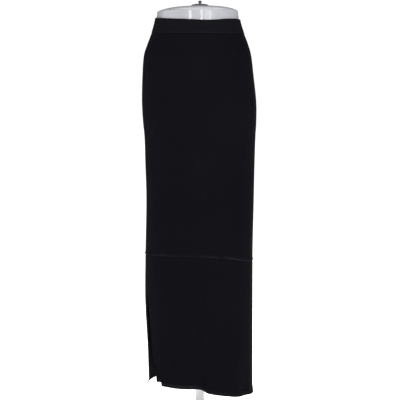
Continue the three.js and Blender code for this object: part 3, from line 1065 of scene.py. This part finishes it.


# %% [markdown]
# ## Black jersey
# Black cloth is never quite black: it is a very dark grey with a cool cast, rough, with a soft sheen
# from its fibres at glancing angles. The knit is far finer than a pixel in the photograph, so it is
# bump in the material, and the patches only shift the tone by a little. The cloth's inner side is
# paler, partly because jersey's wrong side is paler and partly as painted light on the shaded inside
# seen through the slit. Painted highlights on the tier seam's ridge and the band's lower edge,
# painted light on the slit's turnings and the hem band are paler too.

# %% Make the cloth
JERSEY_TONES = ((0.0029, 0.0027, 0.0041), (0.0044, 0.0041, 0.0058))
# the wrong side of jersey is paler, and these tones also hold painted light for the shaded inside
# seen through the slit
INNER_LIFTED_TONES = ((0.0110, 0.0105, 0.0135), (0.0150, 0.0145, 0.0180))
BAND_TONES = ((0.0043, 0.0041, 0.0054), (0.0059, 0.0056, 0.0072))
LINT_COLOUR = (0.022, 0.022, 0.024)
# the paler tone for the painted highlights, the painted light and the paler hem band
PALE_AND_HIGHLIGHT = (0.0145, 0.0140, 0.0175)
LOOP_HEIGHT = 0.0009
JERSEY_LOOP, BAND_LOOP = 0.0011, 0.0016
PALE_MOTTLE = 1.6
FUZZ = 0.6
CLOTH_ROUGH = {"least": 0.78, "spread": 0.12}
CLOTH_SURFACE = {
    "Specular IOR Level": 0.02,
    "Sheen Weight": 0.004,
    "Sheen Roughness": 0.45,
    "Sheen Tint": (0.55, 0.55, 0.62, 1),
}


def cloth_material(name, tones, loop_width):
    """Jersey: two tones in soft patches, a little lint, and paler on its painted highlights, its
    painted light and its paler hem band.
    """
    material, tree, shader = new_material(name)
    place = coordinates(tree)
    tone = use_group(tree, TONE, Vector=place, Patch_scale=7.0, Fine_scale=260.0)
    lint = use_group(tree, LINT, Vector=place, Scale=420.0, Amount=0.09)
    # each vertex's value: painted highlight on seams, painted light on the turnings and a paler hem
    # band
    paling_and_highlight = tree.nodes.new("ShaderNodeAttribute")
    paling_and_highlight.attribute_name = "paling_and_highlight"
    mottle = tone.outputs["Mottle"]
    pale_share = maths(tree, "MULTIPLY", paling_and_highlight.outputs["Fac"],
                         maths(tree, "MULTIPLY", mottle, PALE_MOTTLE), clamp=True)
    colour = blend_colours(tree, tone.outputs["Patches"], *tones)
    colour = blend_colours(tree, lint.outputs["Mask"], colour, LINT_COLOUR)
    colour = blend_colours(tree, pale_share, colour, PALE_AND_HIGHLIGHT)
    tree.links.new(colour, shader.inputs["Base Color"])
    knit = use_group(tree, KNIT, UV=coordinates(tree, "UV"), Loop_width=loop_width,
                     Loop_height=LOOP_HEIGHT)
    height = maths(tree, "ADD", knit.outputs["Height"], maths(tree, "MULTIPLY", mottle, FUZZ))
    add_bump(tree, shader, height, strength=0.35, distance=0.00018)
    spread = maths(tree, "MULTIPLY", mottle, CLOTH_ROUGH["spread"])
    rough = maths(tree, "ADD", CLOTH_ROUGH["least"], spread)
    tree.links.new(rough, shader.inputs["Roughness"])
    set_inputs(shader, CLOTH_SURFACE)
    return material


jersey = cloth_material("Black jersey", JERSEY_TONES, JERSEY_LOOP)
ribbed = cloth_material("Waistband jersey", BAND_TONES, BAND_LOOP)
wrong_side = cloth_material("Jersey inner side", INNER_LIFTED_TONES, JERSEY_LOOP)
print("cloth:", jersey.name, "/", ribbed.name, "/", wrong_side.name)

# %% Make the thread
THREAD_TONES = ((0.004, 0.004, 0.0055), (0.007, 0.007, 0.009))
TWIST_SCALE = 900.0


def thread_material():
    """Dull black thread, with the slant of its twist in its colour and its bump."""
    material, tree, shader = new_material("Black thread")
    twist = tree.nodes.new("ShaderNodeTexWave")
    twist.bands_direction = "DIAGONAL"
    twist.inputs["Scale"].default_value = TWIST_SCALE
    tree.links.new(coordinates(tree), twist.inputs["Vector"])
    colour = blend_colours(tree, twist.outputs["Fac"], *THREAD_TONES)
    tree.links.new(colour, shader.inputs["Base Color"])
    add_bump(tree, shader, twist.outputs["Fac"], strength=0.4, distance=0.0001)
    set_inputs(shader, {"Roughness": 0.6, "Specular IOR Level": 0.05})
    return material


thread = thread_material()
print("thread:", thread.name)

# %% [markdown]
# ## Moulded plastic, enamel and lacquer
# The form is a glossy grey shell under a clear coat. Its reflections do most of the work, so its own
# pattern is only a faint mottle, soft patches in the roughness and an almost flat bump. The pole is
# white enamel, the base white lacquer, and the cap and its knob are dark plastic.

# %% Make the hard finishes
FINE_TO_PATCH = 22  # how many times finer the mottle is than the patches
HARD_BUMP = 0.25
COAT_ROUGH = 0.05


def hard_material(name, dark, light, rough, spread, bump, scale, coat):
    """A smooth coated finish, with soft patches in its tone and its roughness."""
    material, tree, shader = new_material(name)
    tone = use_group(tree, TONE, Vector=coordinates(tree), Patch_scale=scale,
                     Fine_scale=scale * FINE_TO_PATCH)
    patches = tone.outputs["Patches"]
    tree.links.new(blend_colours(tree, patches, dark, light), shader.inputs["Base Color"])
    varied = maths(tree, "ADD", rough, maths(tree, "MULTIPLY", patches, spread))
    tree.links.new(varied, shader.inputs["Roughness"])
    add_bump(tree, shader, tone.outputs["Mottle"], strength=HARD_BUMP, distance=bump)
    set_inputs(shader, {"Coat Weight": coat, "Coat Roughness": COAT_ROUGH})
    return material


form_plastic = hard_material(
    "Glossy grey plastic", (0.315, 0.32, 0.347), (0.338, 0.343, 0.366),
    rough=0.32, spread=0.10, bump=0.00004, scale=5.0, coat=1.0)
cap_plastic = hard_material(
    "Dark cap plastic", (0.012, 0.012, 0.014), (0.022, 0.022, 0.025),
    rough=0.24, spread=0.08, bump=0.00002, scale=30.0, coat=0.2)
knob_plastic = hard_material(
    "Glossy knob", (0.020, 0.020, 0.023), (0.034, 0.034, 0.038),
    rough=0.16, spread=0.08, bump=0.00001, scale=60.0, coat=1.0)
pole_enamel = hard_material(
    "White enamel", (0.90, 0.90, 0.905), (0.93, 0.93, 0.93),
    rough=0.30, spread=0.10, bump=0.00003, scale=24.0, coat=0.3)
base_lacquer = hard_material(
    "White lacquer", (0.76, 0.76, 0.78), (0.82, 0.82, 0.83),
    rough=0.26, spread=0.10, bump=0.00005, scale=9.0, coat=0.3)
print("hard finishes:", form_plastic.name, "/", cap_plastic.name, "/", knob_plastic.name, "/",
      pole_enamel.name, "/", base_lacquer.name)

# %% Dress every piece
def dress(piece, *materials):
    """Gives a piece its finish, and a sheet of cloth a second one for its inner side."""
    piece.data.materials.clear()
    for material in materials:
        piece.data.materials.append(material)


for half in HALVES:
    dress(upper_pieces[half], jersey, wrong_side)
    dress(lower_pieces[half], jersey, wrong_side)
    dress(turned_edges[half], wrong_side, jersey)
    dress(band_pieces[half], ribbed, wrong_side)
for row in stitch_rows:
    dress(row, thread)
dress(hip_form, form_plastic)
dress(cap_disc, cap_plastic)
dress(top_knob, knob_plastic)
dress(stand_pole, pole_enamel)
dress(base_disc, base_lacquer)
print("materials:", ", ".join(sorted(m.name for m in bpy.data.materials)))

# %% [markdown]

# %% [markdown]
# ## Camera and light
# The photograph looks at the skirt a little from the wearer's left, level with the thighs, on a
# pure white ground. The camera repeats that distance and angle. Black cloth shows almost nothing
# but the light that falls on it, and a glossy form almost nothing but what it reflects. So the
# lights are in two sets. Soft panels light what is dull, and they stand all round, because the
# skirt is looked at from behind too. A second set shows in gloss alone: it draws the form's upright
# streaks and leaves the cloth as it is.

# %% Place the camera
PHOTO_WIDTH = 400  # pixels
METRES_PER_PIXEL = 0.00276
SENSOR = 36.0
AIM = Vector((0, 0, 0.606))


def around(azimuth, distance, height):
    """A place round the skirt: azimuth 0 is straight in front, and it grows toward +X."""
    turn = math.radians(azimuth)
    return Vector((distance * math.sin(turn), -distance * math.cos(turn), height))


def facing(place, aim):
    """The matrix of a camera or a lamp that stands at one point and looks at another."""
    turn = (aim - place).to_track_quat("-Z", "Y")
    return Matrix.Translation(place) @ turn.to_matrix().to_4x4()


eye = around(azimuth=18, distance=3.5, height=0.85)
camera_data = bpy.data.cameras.new("photo camera")
camera_data.sensor_width = SENSOR
camera_data.lens = SENSOR * (eye - AIM).length / (PHOTO_WIDTH * METRES_PER_PIXEL)
camera = bpy.data.objects.new("photo camera", camera_data)
camera.matrix_world = facing(eye, AIM)
bpy.context.scene.collection.objects.link(camera)
bpy.context.scene.camera = camera
print("lens:", round(camera_data.lens, 1), "mm")

# %% Lay the floor
FLOOR_RADIUS = 60
FLOOR_SEGMENTS = 96

floor_mesh = bmesh.new()
bmesh.ops.create_circle(floor_mesh, cap_ends=True, segments=FLOOR_SEGMENTS, radius=FLOOR_RADIUS)
floor = finish_mesh(floor_mesh, "studio_floor", smooth=False)
floor_white, _, floor_shader = new_material("White floor")
set_inputs(floor_shader, {
    "Base Color": (0.9, 0.9, 0.9, 1),
    "Roughness": 0.9,
    "Emission Color": (1, 1, 1, 1),
    "Emission Strength": 1.0,
})
dress(floor, floor_white)
print("floor:", FLOOR_RADIUS, "m in radius")

# %% Light the set
LIGHT = ("name", "azimuth", "distance", "height", "aim", "width", "length", "watts")
SOFT_LIGHTS = table(LIGHT, (
    ("key", 62, 2.8, 2.0, 0.65, 1.2, 1.6, 8),
    ("front", 30, 3.4, 2.0, 0.65, 1.6, 1.8, 58),
    ("fill", -40, 3.2, 1.6, 0.65, 1.8, 1.8, 9),
    ("top", 18, 0.9, 3.3, 1.0, 1.8, 1.4, 40),
    ("back key", 178, 2.6, 1.7, 0.65, 0.9, 1.4, 90),
    ("back fill", 225, 3.0, 1.5, 0.65, 1.4, 1.6, 18),
))
GLOSS_LIGHTS = table(LIGHT, (
    ("ceiling", 198, 1.3, 3.3, 1.1, 1.3, 1.6, 10),
    ("side panel", -66, 3.2, 2.4, 1.1, 3.0, 3.0, 30),
    ("streak left", -15, 3.4, 3.0, 1.1, 0.36, 4.0, 33),
    ("streak middle", 8.5, 3.4, 3.0, 1.1, 0.22, 4.0, 24),
    ("window", 22.5, 3.4, 3.0, 1.1, 0.92, 4.0, 25),
    ("streak right", 28, 3.3, 3.0, 1.1, 0.34, 4.0, 8),
))


def area_light(row, in_gloss):
    """A panel of light round the skirt, which either shows in gloss or lights dull surfaces."""
    data = bpy.data.lights.new(row["name"], "AREA")
    data.shape = "RECTANGLE"
    data.size, data.size_y = row["width"], row["length"]
    data.energy = row["watts"]
    lamp = bpy.data.objects.new(row["name"], data)
    place = around(row["azimuth"], row["distance"], row["height"])
    lamp.matrix_world = facing(place, Vector((0, 0, row["aim"])))
    lamp.visible_glossy = in_gloss
    lamp.visible_diffuse = not in_gloss
    bpy.context.scene.collection.objects.link(lamp)


for row in SOFT_LIGHTS:
    area_light(row, in_gloss=False)
for row in GLOSS_LIGHTS:
    area_light(row, in_gloss=True)
print(len(SOFT_LIGHTS), "soft lights and", len(GLOSS_LIGHTS), "gloss lights")

# %% Fill in the white surroundings
WORLD_LIGHT = 0.26
WORLD_SEEN = 0.80  # what the camera sees on top of that, so that the ground is pure white

world = bpy.data.worlds.new("white studio")
world.use_nodes = True
world_tree = world.node_tree
background = world_tree.nodes["Background"]
rays = world_tree.nodes.new("ShaderNodeLightPath")
to_camera = maths(world_tree, "MULTIPLY", rays.outputs["Is Camera Ray"], WORLD_SEEN)
strength = maths(world_tree, "ADD", WORLD_LIGHT, to_camera)
world_tree.links.new(strength, background.inputs["Strength"])
background.inputs["Color"].default_value = (1, 1, 1, 1)
bpy.context.scene.world = world
bpy.context.scene.view_settings.view_transform = "Standard"
